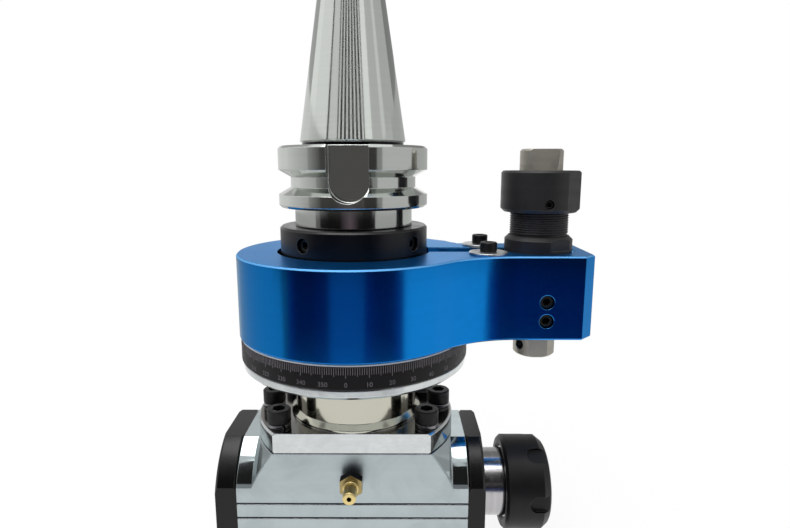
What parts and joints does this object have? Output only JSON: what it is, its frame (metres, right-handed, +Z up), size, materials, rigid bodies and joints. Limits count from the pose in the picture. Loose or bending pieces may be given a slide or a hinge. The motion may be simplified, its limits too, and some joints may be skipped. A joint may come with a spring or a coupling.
{
  "type": "angle head",
  "caption": "Right-angle milling head: taper shank driving a mitre gearbox and collet spindle at ninety degrees, with a blue anti-rotation arm, a graduated swivel dial and a sprung stop pin.",
  "frame": {"origin": "centre of the taper's gauge plane, on the shank axis", "axes": "+Z up along the shank axis into the machine spindle, +X along the arm and out of the collet"},
  "size_m": [0.1575, 0.1, 0.2504],
  "materials": {
    "blue_anodised": "blue anodised aluminium with fine turning marks",
    "black_oxide": "black oxide on turned steel",
    "screw_black": "blackened alloy steel fasteners",
    "dial_black": "black finished steel with engraved pale graduations",
    "cover_black": "black finished steel plate",
    "zinc_steel": "zinc plated steel",
    "ground_steel": "fine turned bright steel",
    "pin_steel": "grey machined steel",
    "spring_steel": "oil tempered spring steel",
    "bearing_steel": "polished bearing steel",
    "gear_steel": "ground case hardened steel",
    "plated_steel": "bright plated and ground steel",
    "shank_steel": "ground taper and turned flange in bright steel",
    "spindle_steel": "ground bright steel",
    "nozzle_brass": "turned brass",
    "seal_rubber": "black nitrile rubber"
  },
  "bodies": {
    "arm": {"arm_body": "blue_anodised", "stop_bush": "black_oxide", "stop_sleeve": "black_oxide", "stop_cap": "black_oxide", "cap_set_screw": "screw_black", "bush_set_screws": "screw_black", "finger_washers": "zinc_steel", "finger_screws": "screw_black", "finger_dowel": "ground_steel", "finger_spring": "spring_steel", "pin_spring": "spring_steel"},
    "stop_pin": {"stop_pin": "pin_steel", "pin_circlip": "spring_steel"},
    "lock_finger": {"lock_finger": "pin_steel"},
    "gearbox": {"swivel_body": "ground_steel", "dial_ring": "dial_black", "clamp_ring": "pin_steel", "clamp_screws": "screw_black", "bearing_cap": "pin_steel", "top_seal": "seal_rubber", "upper_bearing_outer": "bearing_steel", "upper_bearing_balls": "bearing_steel", "upper_outer_spacer": "ground_steel", "lower_bearing_outer": "bearing_steel", "lower_bearing_balls": "bearing_steel", "lower_circlip": "spring_steel", "gear_housing": "plated_steel", "plate_washers": "zinc_steel", "plate_screws": "screw_black", "rear_cover": "cover_black", "front_cover": "cover_black", "cover_screws": "screw_black", "nose_seal": "seal_rubber", "front_bearing_outer": "bearing_steel", "front_bearing_balls": "bearing_steel", "rear_bearing_outer": "bearing_steel", "rear_bearing_balls": "bearing_steel", "coolant_nozzle": "nozzle_brass"},
    "shank": {"taper_shank": "shank_steel", "lock_collar": "black_oxide", "collar_set_screws": "screw_black", "upper_bearing_inner": "bearing_steel", "upper_inner_spacer": "ground_steel", "shaft_locknut": "pin_steel", "lower_bearing_inner": "bearing_steel", "input_spacer": "ground_steel", "input_gear": "gear_steel", "input_gear_key": "ground_steel", "gear_end_screw": "screw_black"},
    "spindle": {"output_spindle": "spindle_steel", "front_bearing_inner": "bearing_steel", "rear_bearing_inner": "bearing_steel", "spindle_spacer": "ground_steel", "output_gear": "gear_steel", "output_gear_key": "ground_steel", "spindle_circlip": "spring_steel", "spindle_locknut": "pin_steel"},
    "collet": {"collet": "spindle_steel"},
    "nut": {"clamping_nut": "black_oxide", "extractor_ring": "pin_steel"}
  },
  "joints": [
    {"name": "arm_swivel", "type": "hinge", "parent": "gearbox", "child": "arm", "pos_m": [0, 0, -0.07], "axis": [0, 0, 1], "continuous": true},
    {"name": "shank_spin", "type": "hinge", "parent": "gearbox", "child": "shank", "pos_m": [0, 0, -0.07], "axis": [0, 0, 1], "continuous": true},
    {"name": "spindle_spin", "type": "hinge", "parent": "gearbox", "child": "spindle", "pos_m": [0, 0, -0.156], "axis": [1, 0, 0], "continuous": true},
    {"name": "stop_pin_slide", "type": "slide", "parent": "arm", "child": "stop_pin", "axis": [0, 0, 1], "range_m": [-0.004, 0], "stiffness_N_per_m": 1500, "springref_m": 0.006, "deforming": ["pin_spring"]},
    {"name": "lock_finger_slide", "type": "slide", "parent": "arm", "child": "lock_finger", "axis": [1, 0, 0], "range_m": [0, 0.004], "deforming": ["finger_spring"]},
    {"name": "collet_slide", "type": "slide", "parent": "spindle", "child": "collet", "axis": [1, 0, 0], "range_m": [0, 0.003]},
    {"name": "nut_turn", "type": "hinge", "parent": "collet", "child": "nut", "pos_m": [0.07, 0, -0.156], "axis": [1, 0, 0], "range_deg": [0, 720]}
  ],
  "couplings": [
    {"joint": "spindle_spin", "follows": "shank_spin", "ratio": -1},
    {"joint": "lock_finger_slide", "follows": "stop_pin_slide", "ratio": -1},
    {"joint": "nut_turn", "follows": "collet_slide", "rad_per_m": 4188.8}
  ]
}
